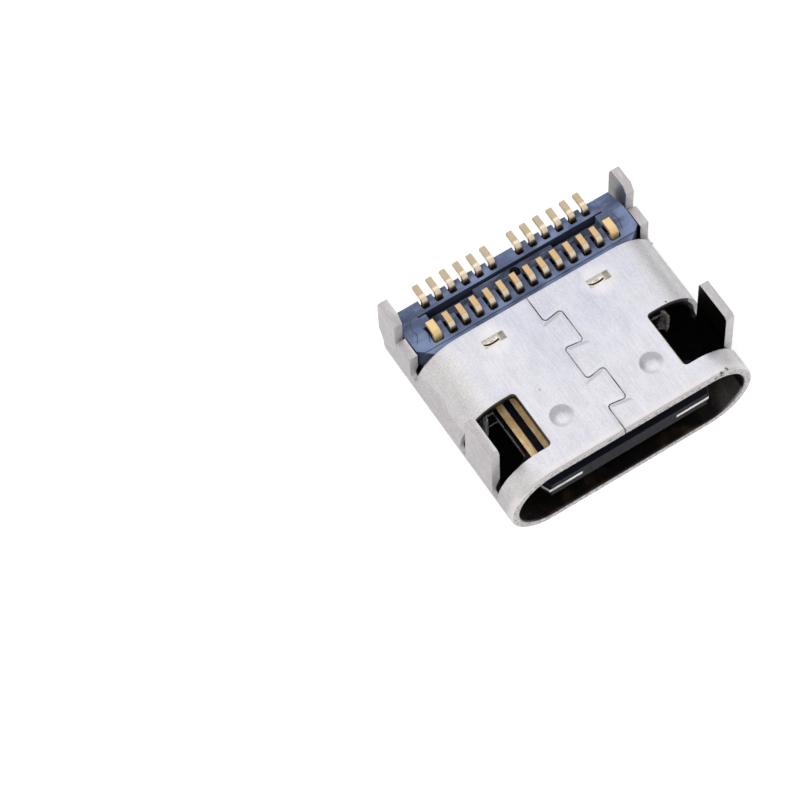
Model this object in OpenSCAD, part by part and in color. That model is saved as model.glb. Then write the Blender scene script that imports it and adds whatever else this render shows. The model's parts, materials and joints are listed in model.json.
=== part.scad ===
// 24-contact reversible data and power socket, lying on the flat back wall of its shell.
// X runs across the mouth, +Y from the mouth to the rear, +Z towards the circuit board side.
// Lengths along Y are first measured from the mouth plane and then centred by on_bench().

/* [Shell] */
// Outer width of the shell across the mouth
shell_w = 8.94; // [8.7:0.02:9.2]
// Outer height of the shell
shell_h = 3.16; // [3.1:0.02:3.3]
// Thickness of the stamped sheet
sheet_t = 0.30; // [0.25:0.01:0.32]
// How far the back wall ends in front of the housing's rear face
wall_short = 0.05; // [0.02:0.01:0.1]
// Rounding of the rim at the mouth
rim_r = 0.09; // [0.04:0.01:0.11]

/* [Seam] */
// Width of the gap left along the folded seam
seam_gap = 0.04; // [0.02:0.01:0.08]
// Distance of the seam's waist line from the middle, towards -X
seam_waist = 0.31; // [0.2:0.01:0.45]
// Distance of the lobes' tips from the middle, towards +X
seam_tip = 0.36; // [0.2:0.01:0.45]
// Distance from the mouth to the middle of the first lobe
seam_first = 1.57; // [1.3:0.01:1.8]
// Spacing of the two interlocking lobes
seam_pitch = 2.39; // [2:0.01:2.6]
// Length of a lobe at its tip
lobe_tip_len = 1.30; // [1.1:0.01:1.4]
// Length of a lobe at its waist
lobe_waist_len = 1.10; // [0.9:0.01:1.2]
// Rounding of the lobes' corners
lobe_r = 0.12; // [0.05:0.01:0.16]

/* [Pressed dents] */
// Distance of each round dent from the middle
dent_x = 1.66; // [1.4:0.01:1.9]
// Distance of the dents from the mouth
dent_y = 1.49; // [1.3:0.01:1.7]
// Diameter of a dent at the surface
dent_d = 0.80; // [0.6:0.02:0.9]
// Depth of a dent
dent_depth = 0.12; // [0.05:0.01:0.16]

/* [Lances] */
// Distance of each retention lance from the middle
lance_x = 1.95; // [1.8:0.01:2.1]
// Distance of the lances from the rear edge of the board-side wall
lance_back = 0.68; // [0.58:0.01:0.73]
// Width of a lance along Y
lance_len = 0.30; // [0.24:0.01:0.34]
// Radius of the trough that the lance is pressed into
lance_r = 0.40; // [0.36:0.01:0.42]
// Thickness of the stretched strap under the trough
strap_t = 0.16; // [0.1:0.01:0.2]
// Sheared gap on each side of the strap
shear_gap = 0.03; // [0.02:0.01:0.05]

/* [Corner windows] */
// Distance of the windows' inner edges from the middle
window_x = 2.45; // [2.3:0.01:2.6]
// Distance of the windows' front edges from the mouth
window_y = 0.84; // [0.75:0.01:0.95]
// Length of the windows along Y
window_len = 2.14; // [2.0:0.01:2.3]
// Rounding of the windows' corners
window_r = 0.15; // [0.05:0.01:0.2]
// Reach of the windows' rounded slots down the side walls, below the board-side wall
window_drop = 1.66; // [1.6:0.01:1.75]

/* [Shell tabs] */
// Rise of the four tabs above the board-side wall
tab_rise = 0.80; // [0.6:0.01:1.2]
// Front edge of the front tabs, from the mouth
front_tab_y = 1.14; // [1.0:0.01:1.2]
// Width of the front tabs along Y
front_tab_len = 1.50; // [1.3:0.01:1.55]
// Run of the front tabs' corner chamfers along Y
front_chamfer_run = 0.10; // [0.05:0.01:0.2]
// Drop of the front tabs' corner chamfers along Z
front_chamfer_drop = 0.12; // [0.05:0.01:0.2]
// Reach of the rear tabs beyond the end of the back wall
rear_tab_reach = 0.26; // [0.2:0.01:0.3]
// Width of the rear tabs along Y
rear_tab_len = 0.97; // [0.9:0.01:1.05]
// Run of the rear tabs' front corner chamfers along Y
tab_chamfer_run = 0.20; // [0.1:0.01:0.3]
// Drop of the rear tabs' corner chamfers along Z
tab_chamfer_drop = 0.26; // [0.1:0.01:0.4]

/* [Rear sides] */
// Drop of the low shoulders below the board-side wall
shoulder_drop = 0.24; // [0.1:0.01:0.4]
// Length of the relief notch behind the board-side wall
relief_len = 0.27; // [0.2:0.01:0.3]
// Depth of the relief notch below the board-side wall
relief_drop = 1.26; // [1.1:0.01:1.3]
// Width of the small notch in front of each rear tab
tab_notch_w = 0.13; // [0.08:0.01:0.16]
// Depth of the small notch below the board-side wall
tab_notch_drop = 0.54; // [0.45:0.01:0.7]
// Depth at which a rear tab's rear edge starts to run forward
heel_drop = 0.84; // [0.6:0.01:1.0]
// Depth at which that edge meets the rear end of the side wall
heel_end_drop = 1.38; // [1.2:0.01:1.45]

/* [Carrier stubs] */
// Distance of the broken carrier stubs from the middle
stub_x = 1.50; // [1.4:0.01:1.6]
// Width of a stub
stub_w = 1.03; // [0.9:0.01:1.1]
// Reach of a stub beyond the back wall
stub_reach = 0.10; // [0.05:0.01:0.15]
// Lean of a stub's broken face
stub_lean = 0.20; // [0.1:0.01:0.25]
// Width of the relief notches beside the stubs
stub_notch_w = 0.29; // [0.2:0.01:0.32]
// Depth of the relief notches beside the stubs
stub_notch_len = 0.28; // [0.2:0.01:0.32]
// Rounding of the back wall's cut corners
cut_r = 0.10; // [0.05:0.01:0.14]

/* [Tongue] */
// Distance of the tongue's front from the mouth
tongue_y = 0.18; // [0.1:0.01:0.4]
// Thickness of the tongue
tongue_t = 0.70; // [0.66:0.01:0.74]
// Width of the tongue's plastic in front of the latch notches
tongue_w = 6.28; // [6.2:0.01:6.5]
// Width of the tongue's plastic between the latch notches
latch_w = 5.80; // [5.7:0.01:5.9]
// Distance of the latch notches' front ends from the mouth
latch_y = 1.42; // [1.3:0.01:1.6]
// Length of the slope at the front of a latch notch
latch_slope = 0.14; // [0.08:0.01:0.2]
// Chamfer of the tongue's front corners along X
nose_x = 0.24; // [0.15:0.01:0.3]
// Chamfer of the tongue's front corners along Y
nose_y = 0.55; // [0.3:0.01:0.6]
// Length of the thick root of the tongue
root_len = 1.20; // [1.1:0.01:1.4]
// Length of the block that fills the shell behind the root, up to the board-side wall's edge
base_len = 0.91; // [0.88:0.01:1.0]
// Width of the thick root
root_w = 6.70; // [6.6:0.01:6.9]
// Thickness of the thick root
root_t = 1.20; // [1.1:0.02:1.4]
// Rounding of the thick root's long edges
root_r = 0.30; // [0.2:0.01:0.35]

/* [Middle plate] */
// Thickness of the middle plate
plate_t = 0.15; // [0.12:0.01:0.16]
// Reach of the plate's edges beyond the tongue's plastic
plate_reveal = 0.06; // [0.03:0.01:0.1]
// Half width of the plate's hidden front between its two prongs
prong_x = 1.75; // [1.4:0.01:2]
// Depth of the hidden front between the prongs
prong_len = 0.60; // [0.4:0.01:0.8]
// Distance of the plate's wide ground tails from the middle
ground_x = 3.30; // [3.25:0.01:3.35]
// Width of the ground tails
ground_w = 0.28; // [0.24:0.01:0.3]

/* [Ground ring] */
// Thickness of the ring round the tongue's root
ring_t = 0.10; // [0.08:0.01:0.12]
// Reach of the ring's flat sides in front of the thick root
ring_lead = 0.06; // [0.02:0.01:0.1]
// Reach of the ring's side wings in front of that edge
ring_wing = 0.30; // [0.1:0.01:0.4]

/* [Contacts] */
// Contacts in each row
row_count = 12; // [12]
// Spacing of the contacts
pitch = 0.50; // [0.5]
// Thickness of the contact strip
contact_t = 0.15; // [0.1:0.01:0.15]
// Width of a contact on the tongue
beam_w = 0.25; // [0.2:0.01:0.27]
// Width of a contact's tail
tail_w = 0.20; // [0.18:0.01:0.24]
// Front tip of the long contacts, from the mouth
long_tip_y = 0.66; // [0.6:0.01:0.8]
// Front tip of the short contacts, from the mouth
short_tip_y = 1.07; // [0.9:0.01:1.2]
// How far a contact lies below the tongue's surface
contact_sink = 0.02; // [0.01:0.005:0.03]
// Inner radius of the tails' bends
bend_r = 0.08; // [0.05:0.01:0.12]
// Stand-off of the solder feet's faces above the board-side wall
foot_rise = 0.08; // [0.02:0.01:0.12]
// Distance of the inner row's stems behind the edge of the board-side wall
inner_stem_back = 0.40; // [0.37:0.01:0.43]
// Length of the inner row's feet, from the front faces of their stems
inner_foot_len = 0.57; // [0.5:0.01:0.65]
// Distance of the outer row's stems in front of the housing's rear face
outer_stem_cover = 0.28; // [0.26:0.01:0.31]
// Length of the outer row's feet, from the front faces of their stems
outer_foot_len = 0.67; // [0.6:0.01:0.75]
// Start of the outer row's side step in front of the edge of the board-side wall
jog_lead = 0.13; // [0.05:0.01:0.3]
// Length of the outer row's side step
jog_len = 0.50; // [0.45:0.01:0.6]

/* [Housing] */
// Clearance of the housing inside the shell
housing_clear = 0.03; // [0.01:0.01:0.05]
// Depth of the housing's board face below the board-side wall
face_drop = 0.21; // [0.16:0.01:0.26]
// Rear face of the housing, from the mouth
housing_len = 7.41; // [7.38:0.01:7.5]
// Depth of the ledge round the housing's rear below the board-side wall
ledge_drop = 1.00; // [0.9:0.01:1.1]
// Gap between the housing under that ledge and the upright sides
under_gap = 0.24; // [0.17:0.01:0.32]
// Rounding of the housing's lower rear edges
under_r = 1.20; // [0.9:0.01:1.25]
// Gap between the housing's board face and the upright sides
face_gap = 0.04; // [0.02:0.01:0.07]
// Length of the housing behind the board-side wall
face_len = 1.88; // [1.85:0.01:2.0]
// Narrowing of each side towards the rear face
face_taper = 0.13; // [0.05:0.01:0.2]
// Length of the narrowing
taper_len = 0.68; // [0.4:0.01:0.8]
// Front corner cut of the board face along X
face_cut_x = 0.45; // [0.3:0.01:0.5]
// Front corner cut of the board face along Y
face_cut_y = 0.36; // [0.2:0.01:0.4]
// Gap between the board-side wall's edge and the housing's lip
lip_gap = 0.03; // [0.02:0.01:0.05]
// Width of the lowered lip along the wall's edge
lip_w = 0.19; // [0.1:0.01:0.25]
// Step of the lowered lip
lip_drop = 0.05; // [0.02:0.01:0.08]

/* [Pockets and blocks] */
// Width of a pocket round an inner tail
pocket_w = 0.31; // [0.26:0.01:0.34]
// Gap in front of a stem in its pocket
pocket_gap = 0.06; // [0.03:0.01:0.1]
// Depth of the inner pockets
pocket_depth = 0.62; // [0.3:0.01:0.7]
// Width of a pocket round an outer tail
outer_pocket_w = 0.28; // [0.24:0.01:0.32]
// Depth of the outer pockets
outer_pocket_depth = 0.34; // [0.2:0.01:0.5]
// Fit clearance of a contact in its channel
channel_clear = 0.01; // [0.005:0.005:0.02]
// Width of the long recess between the two rows
recess_w = 6.36; // [6.3:0.01:6.4]
// Length of the recess along Y
recess_len = 0.49; // [0.45:0.01:0.52]
// Length of the rear block along Y, behind the recess
rear_block_len = 0.47; // [0.42:0.01:0.5]
// Depth of the block's ends below the board face
block_drop = 0.20; // [0.15:0.01:0.25]
// Depth of the block's middle pad below the board face
pad_drop = 0.10; // [0.05:0.01:0.14]
// Width of the middle pad
pad_w = 2.92; // [2.5:0.01:3.2]
// Width of the dark slots behind the block
slot_w = 0.17; // [0.1:0.01:0.2]
// Width of the groove behind the pad
pad_groove_w = 0.08; // [0.05:0.01:0.12]
// Depth of the inner block's seat below the board face
block_depth = 0.85; // [0.7:0.01:0.95]
// Width of the rear block
rear_block_w = 6.90; // [6.8:0.01:7.0]
// Depth of the rear block's seat, and of the parting line on the rear face
rear_depth = 0.69; // [0.6:0.01:0.75]
// Radius of the round gate mark
gate_r = 0.18; // [0.14:0.01:0.19]
// Depth of the gate mark
gate_depth = 0.12; // [0.05:0.01:0.15]

/* [Hidden] */
$fn = 48;
over = 0.05;
mid_z = shell_h / 2;
shell_r = shell_h / 2;
flat_half = shell_w / 2 - shell_r;
side_in = shell_w / 2 - sheet_t;
wall_in = shell_h - sheet_t;
tab_top = shell_h + tab_rise;
foot_top = shell_h + foot_rise;
tongue_top = mid_z + tongue_t / 2;
board_wall_len = housing_len - face_len;
back_wall_len = housing_len - wall_short;
lance_y = board_wall_len - lance_back;
front_tab_end = front_tab_y + front_tab_len;
rear_tab_end = back_wall_len + rear_tab_reach;
rear_tab_y = rear_tab_end - rear_tab_len;
base_y = board_wall_len - base_len;
root_y = base_y - root_len;
ring_y = root_y - ring_lead;
inner_stem_y = board_wall_len + inner_stem_back;
inner_tip_y = inner_stem_y + inner_foot_len;
outer_stem_y = housing_len - outer_stem_cover;
outer_tip_y = outer_stem_y + outer_foot_len;
overall_len = outer_tip_y;
jog_y = board_wall_len - jog_lead;
jog_end = jog_y + jog_len;
recess_end = housing_len - rear_block_len;
recess_y = recess_end - recess_len;
under_w = 2 * (side_in - under_gap);
face_w = 2 * (side_in - face_gap);
slot_floor = shell_h - window_drop;
shoulder_top = shell_h - shoulder_drop;
relief_floor = shell_h - relief_drop;
tab_notch_floor = shell_h - tab_notch_drop;
heel_top = shell_h - heel_drop;
heel_floor = shell_h - heel_end_drop;
board_face = shell_h - face_drop;
ledge_z = shell_h - ledge_drop;
floor_z = board_face - block_drop;
pad_z = board_face - pad_drop;
block_seat = board_face - block_depth;
rear_seat = board_face - rear_depth;
gate_y = (recess_y + recess_end - pad_groove_w) / 2;
lip_end = board_wall_len + lip_gap;
shoulder_y = board_wall_len + relief_len;
stub_face_y = back_wall_len + stub_reach;
beam_top = tongue_top - contact_sink;
far_top = mid_z - tongue_t / 2 + contact_sink + contact_t;
plate_w = tongue_w + 2 * plate_reveal;
plate_latch_w = latch_w + 2 * plate_reveal;
pocket_front = inner_stem_y - pocket_gap;
outer_pocket_front = outer_stem_y - pocket_gap;
half_count = row_count / 2;

// ---- Shared helpers ----

// Moves lengths measured from the mouth to the bench frame, centred along Y.
module on_bench() translate([0, -overall_len / 2, 0]) children();

// Block between two opposite corners.
module span(low, high) translate(low) cube(high - low);

// Extrudes a (y, z) outline along X from x0 to x1.
module along_x(x0, x1) translate([x0, 0, 0]) rotate([90, 0, 90]) linear_extrude(x1 - x0) children();

// Extrudes an (x, z) outline along Y from y0 to y1.
module along_y(y0, y1) translate([0, y1, 0]) rotate([90, 0, 0]) linear_extrude(y1 - y0) children();

// Extrudes an (x, y) outline along Z from z0 to z1.
module along_z(z0, z1) translate([0, 0, z0]) linear_extrude(z1 - z0) children();

// Keeps a form and its mirror image across the middle.
module both_sides() {
    children();
    mirror([1, 0, 0]) children();
}

// Stadium of a given half flat and radius, centred on the origin.
module stadium(half, r) {
    square([2 * half, 2 * r], center = true);
    translate([half, 0]) circle(r);
    translate([-half, 0]) circle(r);
}

// Rectangle from (0, 0) with its four corners rounded.
module soft_rect(w, l, r) {
    translate([r, 0]) square([w - 2 * r, l]);
    translate([0, r]) square([w, l - 2 * r]);
    for (x = [r, w - r], y = [r, l - r]) translate([x, y]) circle(r);
}

// Contact position across the socket, numbered from -X, for a given first offset.
function row_x(i, first) =
    i < half_count ? -first - pitch * (half_count - 1 - i) : first + pitch * (i - half_count);

// Ground and supply contacts mate first, so their tips reach further forward.
function is_long(i) = i == 0 || i == 3 || i == row_count - 4 || i == row_count - 1;
function tip_y(i) = is_long(i) ? long_tip_y : short_tip_y;

// ---- Shell ----

// Section of the sheet along Y, with its mouth end rounded.
module wall_section(r_in, length) {
    translate([r_in, rim_r]) square([sheet_t, length - rim_r]);
    translate([r_in + rim_r, 0]) square([sheet_t - 2 * rim_r, rim_r + over]);
    for (r = [r_in + rim_r, r_in + sheet_t - rim_r]) translate([r, rim_r]) circle(rim_r);
}

// Quarter of a half-round side, about the +X end of the flat walls: lower, or upper where turned by -90.
module quarter_round(turn, length) {
    translate([flat_half, 0, mid_z]) rotate([-90, 0, 0]) rotate(turn)
        rotate_extrude(angle = 90) wall_section(shell_r - sheet_t, length);
}

// Back wall and lower sides, in their full length.
module lower_half() {
    both_sides() quarter_round(0, back_wall_len);
    along_x(-flat_half, flat_half) mirror([0, 1]) rotate(-90) wall_section(0, back_wall_len);
}

// Board-side wall and upper sides.
module upper_half() {
    both_sides() quarter_round(-90, board_wall_len);
    along_x(-flat_half, flat_half) translate([0, wall_in])
        mirror([0, 1]) rotate(-90) wall_section(0, board_wall_len);
}

// Outline of an upright side behind the board-side wall, as (y, z).
module rear_side_outline() difference() {
    polygon([
        [shoulder_y, mid_z], [shoulder_y, shoulder_top],
        [rear_tab_y, shoulder_top], [rear_tab_y, tab_top - tab_chamfer_drop],
        [rear_tab_y + tab_chamfer_run, tab_top], [rear_tab_end - tab_chamfer_run / 2, tab_top],
        [rear_tab_end, tab_top - tab_chamfer_drop], [rear_tab_end, heel_top],
        [back_wall_len, heel_floor], [back_wall_len, mid_z]
    ]);
    translate([rear_tab_y - tab_notch_w, tab_notch_floor + tab_notch_w / 2]) square([tab_notch_w, shell_h]);
    translate([rear_tab_y - tab_notch_w / 2, tab_notch_floor + tab_notch_w / 2]) circle(tab_notch_w / 2);
}

module rear_side() {
    along_x(side_in, shell_w / 2) rear_side_outline();
    along_x(side_in, shell_w / 2) difference() {
        translate([board_wall_len, mid_z])
            square([relief_len + over, relief_floor - mid_z + relief_len / 2]);
        translate([board_wall_len + relief_len / 2, relief_floor + relief_len / 2]) circle(relief_len / 2);
        translate([board_wall_len, relief_floor + relief_len / 2]) square([relief_len, over]);
    }
}

// The tab continues the sheet straight up from the line where the side starts to curve in.
module front_tab() along_x(side_in, shell_w / 2) polygon([
    [front_tab_y, mid_z], [front_tab_y, tab_top - front_chamfer_drop],
    [front_tab_y + front_chamfer_run, tab_top], [front_tab_end - front_chamfer_run / 2, tab_top],
    [front_tab_end, tab_top - front_chamfer_drop], [front_tab_end, mid_z]
]);

// Round-bottomed relief slot beside a front tab, as (y, z), between two places along Y.
module slot_outline(y0, y1) {
    r = (y1 - y0) / 2;
    translate([y0 + r, slot_floor + r]) circle(r);
    translate([y0, slot_floor + r]) square([y1 - y0, wall_in - slot_floor - r]);
}

// Window over a front tab: an open corner, whose slots run down both sides of the tab.
module window_cut() {
    window_end = window_y + window_len;
    translate([window_x, window_y, 0]) along_z(tongue_top, shell_h + over)
        soft_rect(shell_w / 2 - window_x + window_r + over, window_len, window_r);
    along_x(flat_half + shell_r / 2, shell_w / 2 + over) {
        slot_outline(window_y, front_tab_y);
        translate([front_tab_y - over, mid_z]) square([front_tab_len + 2 * over, tongue_t]);
        slot_outline(front_tab_end, window_end);
    }
}

// Path of the seam: the waist line with two flared lobes that reach to the tip line.
function lobe_path(y) = [
    [-seam_waist, y - lobe_waist_len / 2], [seam_tip, y - lobe_tip_len / 2],
    [seam_tip, y + lobe_tip_len / 2], [-seam_waist, y + lobe_waist_len / 2]
];
seam_path = concat(
    [[-seam_waist, -over]], lobe_path(seam_first), lobe_path(seam_first + seam_pitch),
    [[-seam_waist, board_wall_len + over]]
);

function unit(v) = v / norm(v);
function turn_of(u, v) = atan2(u[0] * v[1] - u[1] * v[0], u * v);
function perp(v) = [-v[1], v[0]];

// Points of one rounded corner, moved sideways by off.
function corner(a, b, c, r, off, steps = 6) =
    let (u = unit(b - a), v = unit(c - b), turn = turn_of(u, v), s = sign(turn),
         start = b - u * r * tan(abs(turn) / 2), centre = start + perp(u) * s * r)
    [for (k = [0:steps]) let (d = [
        u[0] * cos(turn * k / steps) - u[1] * sin(turn * k / steps),
        u[0] * sin(turn * k / steps) + u[1] * cos(turn * k / steps)])
        centre - perp(d) * s * (r - s * off)];

function sideways(path, r, off) = concat(
    [path[0] + perp(unit(path[1] - path[0])) * off],
    [for (i = [1:len(path) - 2]) each corner(path[i - 1], path[i], path[i + 1], r, off)],
    [path[len(path) - 1] + perp(unit(path[len(path) - 1] - path[len(path) - 2])) * off]
);

module seam_cut() {
    left = sideways(seam_path, lobe_r, seam_gap / 2);
    right = sideways(seam_path, lobe_r, -seam_gap / 2);
    along_z(wall_in - over, shell_h + over)
        polygon(concat(left, [for (i = [len(right) - 1:-1:0]) right[i]]));
}

// A round dent: the ball that presses it and the bump it raises inside.
dent_ball_r = (pow(dent_d / 2, 2) + pow(dent_depth, 2)) / (2 * dent_depth);
dent_ball_z = shell_h - dent_depth + dent_ball_r;

module dent_cut() translate([dent_x, dent_y, dent_ball_z]) sphere(dent_ball_r);

module dent_bump() intersection() {
    translate([dent_x, dent_y, dent_ball_z]) sphere(dent_ball_r + sheet_t);
    translate([dent_x, dent_y, shell_h - dent_depth - sheet_t - over])
        cylinder(r = dent_d, h = dent_depth + over + sheet_t / 2);
}

// A bridge lance: a round trough pressed into the wall over a narrower strap.
lance_axis_z = shell_h + lance_r - sheet_t;

module lance_cut() translate([lance_x, lance_y - lance_len / 2, lance_axis_z])
    rotate([-90, 0, 0]) cylinder(r = lance_r, h = lance_len);

module lance_strap() {
    strap_len = lance_len - 2 * shear_gap;
    along_y(lance_y - strap_len / 2, lance_y + strap_len / 2) intersection() {
        translate([lance_x, lance_axis_z]) difference() {
            circle(lance_r + strap_t);
            circle(lance_r);
        }
        translate([lance_x - lance_r, wall_in - strap_t - over]) square([2 * lance_r, strap_t + 2 * over]);
    }
}

// Relief notches and rounded cut corners along the rear edge of the back wall, as (x, y).
module rear_edge_cut_outline() {
    for (x = [stub_x - stub_w / 2 - stub_notch_w, stub_x + stub_w / 2]) {
        translate([x, back_wall_len - stub_notch_len + stub_notch_w / 2])
            square([stub_notch_w, stub_notch_len + stub_reach]);
        translate([x + stub_notch_w / 2, back_wall_len - stub_notch_len + stub_notch_w / 2])
            circle(stub_notch_w / 2);
    }
    translate([stub_x - stub_w / 2 - over, stub_face_y - stub_lean])
        square([stub_w + 2 * over, stub_lean + over]);
    for (x = [stub_x - stub_w / 2 - stub_notch_w, stub_x + stub_w / 2 + stub_notch_w])
        translate([x, back_wall_len]) difference() {
            square(2 * cut_r, center = true);
            translate([x < stub_x ? -cut_r : cut_r, -cut_r]) circle(cut_r);
        }
}

// A stub of the carrier strip, broken off at a slant.
module stub() along_x(stub_x - stub_w / 2, stub_x + stub_w / 2) polygon([
    [back_wall_len - stub_notch_len - over, 0], [stub_face_y, 0],
    [stub_face_y - stub_lean, sheet_t], [back_wall_len - stub_notch_len - over, sheet_t]
]);

module shell() color("silver") on_bench() {
    difference() {
        union() {
            lower_half();
            upper_half();
            both_sides() dent_bump();
        }
        both_sides() {
            window_cut();
            dent_cut();
            lance_cut();
            along_z(-over, sheet_t + over) rear_edge_cut_outline();
        }
        seam_cut();
    }
    both_sides() {
        front_tab();
        rear_side();
        lance_strap();
        stub();
    }
}

// ---- Contacts ----

// Side view of a strip that runs back, turns up to the board and ends in a solder foot, as (y, z).
module bent_strip(tip, stem, foot_end, z_top, t) {
    r_out = bend_r + t;
    z_low = z_top - t;
    translate([tip, z_low]) square([stem + t - r_out - tip, t]);
    translate([stem + t - r_out, z_low + r_out]) bend(t, 270);
    translate([stem, z_low + r_out]) square([t, foot_top - r_out - z_low - r_out]);
    translate([stem + r_out, foot_top - r_out]) bend(t, 90);
    translate([stem + r_out, foot_top - t]) square([foot_end - stem - r_out, t]);
}

// Quarter ring of the strip's thickness, from a given angle.
module bend(t, from) rotate(from) intersection() {
    difference() {
        circle(bend_r + t);
        circle(bend_r);
    }
    square(bend_r + t);
}

// Contact on the board side of the tongue, with its tail in the inner row.
module inner_contact(i) color("goldenrod") on_bench() {
    x = row_x(i, pitch / 2);
    span([x - beam_w / 2, tip_y(i), beam_top - contact_t], [x + beam_w / 2, base_y, beam_top]);
    along_x(x - tail_w / 2, x + tail_w / 2)
        bent_strip(base_y - over, inner_stem_y, inner_tip_y, beam_top, contact_t);
}

// Contact on the far side of the tongue, stepped sideways to its tail in the outer row.
module outer_contact(i) color("goldenrod") on_bench() {
    x = row_x(i, pitch / 2);
    tail = row_x(i, pitch);
    low = far_top - contact_t;
    span([x - beam_w / 2, tip_y(i), low], [x + beam_w / 2, jog_y, far_top]);
    along_z(low, far_top) polygon([
        [x - tail_w / 2, jog_y - over], [x + tail_w / 2, jog_y - over], [x + tail_w / 2, jog_y],
        [tail + tail_w / 2, jog_end], [tail + tail_w / 2, jog_end + over],
        [tail - tail_w / 2, jog_end + over], [tail - tail_w / 2, jog_end], [x - tail_w / 2, jog_y]
    ]);
    along_x(tail - tail_w / 2, tail + tail_w / 2)
        bent_strip(jog_end, outer_stem_y, outer_tip_y, far_top, contact_t);
}

// ---- Middle plate ----

// Outline of half of the tongue or the plate, with its latch notch, as (x, y).
module tongue_outline(w, narrow, front, back) both_sides() polygon([
    [-over, front], [w / 2 - nose_x, front], [w / 2, front + nose_y], [w / 2, latch_y],
    [narrow / 2, latch_y + latch_slope], [narrow / 2, back], [-over, back]
]);

// Plate outline: the tongue's, with two front prongs and a wide rear that carries the ground tails.
module plate_outline() {
    rear_w = 2 * ground_x + ground_w;
    difference() {
        union() {
            tongue_outline(plate_w, plate_latch_w, tongue_y, base_y);
            translate([-root_w / 2, root_y]) square([root_w, base_y + over - root_y]);
            translate([-rear_w / 2, base_y]) square([rear_w, inner_stem_y - bend_r - base_y]);
        }
        translate([-prong_x, tongue_y - over]) square([2 * prong_x, prong_len + over]);
        translate([-ground_x + ground_w / 2, base_y + over])
            square([2 * ground_x - ground_w, inner_stem_y - base_y]);
    }
}

module mid_plate() color("gainsboro") on_bench() {
    along_z(mid_z - plate_t / 2, mid_z + plate_t / 2) plate_outline();
    both_sides() along_x(ground_x - ground_w / 2, ground_x + ground_w / 2)
        bent_strip(inner_stem_y - bend_r - over, inner_stem_y, inner_tip_y, mid_z + plate_t / 2, plate_t);
}

// ---- Ground ring ----

module root_section(grow) {
    r = root_r + grow;
    translate([-root_w / 2 - grow, mid_z - root_t / 2 - grow])
        soft_rect(root_w + 2 * grow, root_t + 2 * grow, r);
}

// The ring round the thick root; its sides reach forward in rounded wings.
module ground_ring() color("whitesmoke") on_bench() difference() {
    along_y(ring_y - ring_wing, base_y) difference() {
        root_section(ring_t);
        root_section(0);
    }
    along_z(0, shell_h) {
        translate([-root_w / 2 + ring_wing, 0]) square([root_w - 2 * ring_wing, ring_y]);
        both_sides() translate([root_w / 2 - ring_wing, ring_y - ring_wing]) circle(ring_wing);
    }
}

// ---- Housing ----

// Outline of the board face, as (x, y).
module face_outline() both_sides() polygon([
    [-over, lip_end], [face_w / 2 - face_cut_x, lip_end],
    [face_w / 2, lip_end + face_cut_y], [face_w / 2, housing_len - taper_len],
    [face_w / 2 - face_taper, housing_len], [-over, housing_len]
]);

// Section of the housing's lower rear part, as (x, z).
module under_outline() {
    half = under_w / 2 - under_r;
    translate([-half, sheet_t]) square([2 * half, under_r]);
    translate([-under_w / 2, sheet_t + under_r]) square([under_w, ledge_z - sheet_t - under_r]);
    both_sides() translate([half, sheet_t + under_r]) circle(under_r);
}

module housing_body() {
    along_z(mid_z - tongue_t / 2, tongue_top) tongue_outline(tongue_w, latch_w, tongue_y, root_y + over);
    along_y(root_y, base_y + over) root_section(0);
    along_y(base_y, lip_end) translate([0, mid_z - housing_clear])
        stadium(flat_half, shell_r - sheet_t - housing_clear);
    along_y(board_wall_len, housing_len) under_outline();
    along_z(ledge_z - over, board_face) face_outline();
}

// Channel of an inner contact: groove on the tongue, tight slot and open pocket.
module inner_channel(x, w, beam, tip, z_low, t) {
    c = channel_clear;
    if (beam > 0)
        span([x - beam / 2 - c, tip - c, z_low], [x + beam / 2 + c, base_y + c, tongue_top + c]);
    span([x - w / 2 - c, base_y - over, z_low],
         [x + w / 2 + c, inner_stem_y + t + c, z_low + t + 2 * c]);
    span([x - w / 2 - c, inner_stem_y - bend_r - c, z_low],
         [x + w / 2 + c, inner_stem_y + t + c, board_face]);
}

module inner_pocket(x, w) span(
    [x - w / 2, pocket_front, board_face - pocket_depth],
    [x + w / 2, recess_y + over, board_face + over]);

// Channel of an outer contact under the tongue and through the housing.
module outer_channel(i) {
    c = channel_clear;
    x = row_x(i, pitch / 2);
    tail = row_x(i, pitch);
    low = far_top - contact_t;
    span([x - beam_w / 2 - c, tip_y(i) - c, low - contact_sink - c],
         [x + beam_w / 2 + c, jog_y + over, far_top]);
    along_z(low - c, far_top) polygon([
        [x - tail_w / 2 - c, jog_y], [x + tail_w / 2 + c, jog_y],
        [tail + tail_w / 2 + c, jog_end], [tail - tail_w / 2 - c, jog_end]
    ]);
    span([tail - tail_w / 2 - c, jog_end - over, low - c],
         [tail + tail_w / 2 + c, outer_stem_y + contact_t + c, far_top]);
    span([tail - tail_w / 2 - c, outer_stem_y - bend_r - c, low - c],
         [tail + tail_w / 2 + c, outer_stem_y + contact_t + c, board_face + over]);
}

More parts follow.
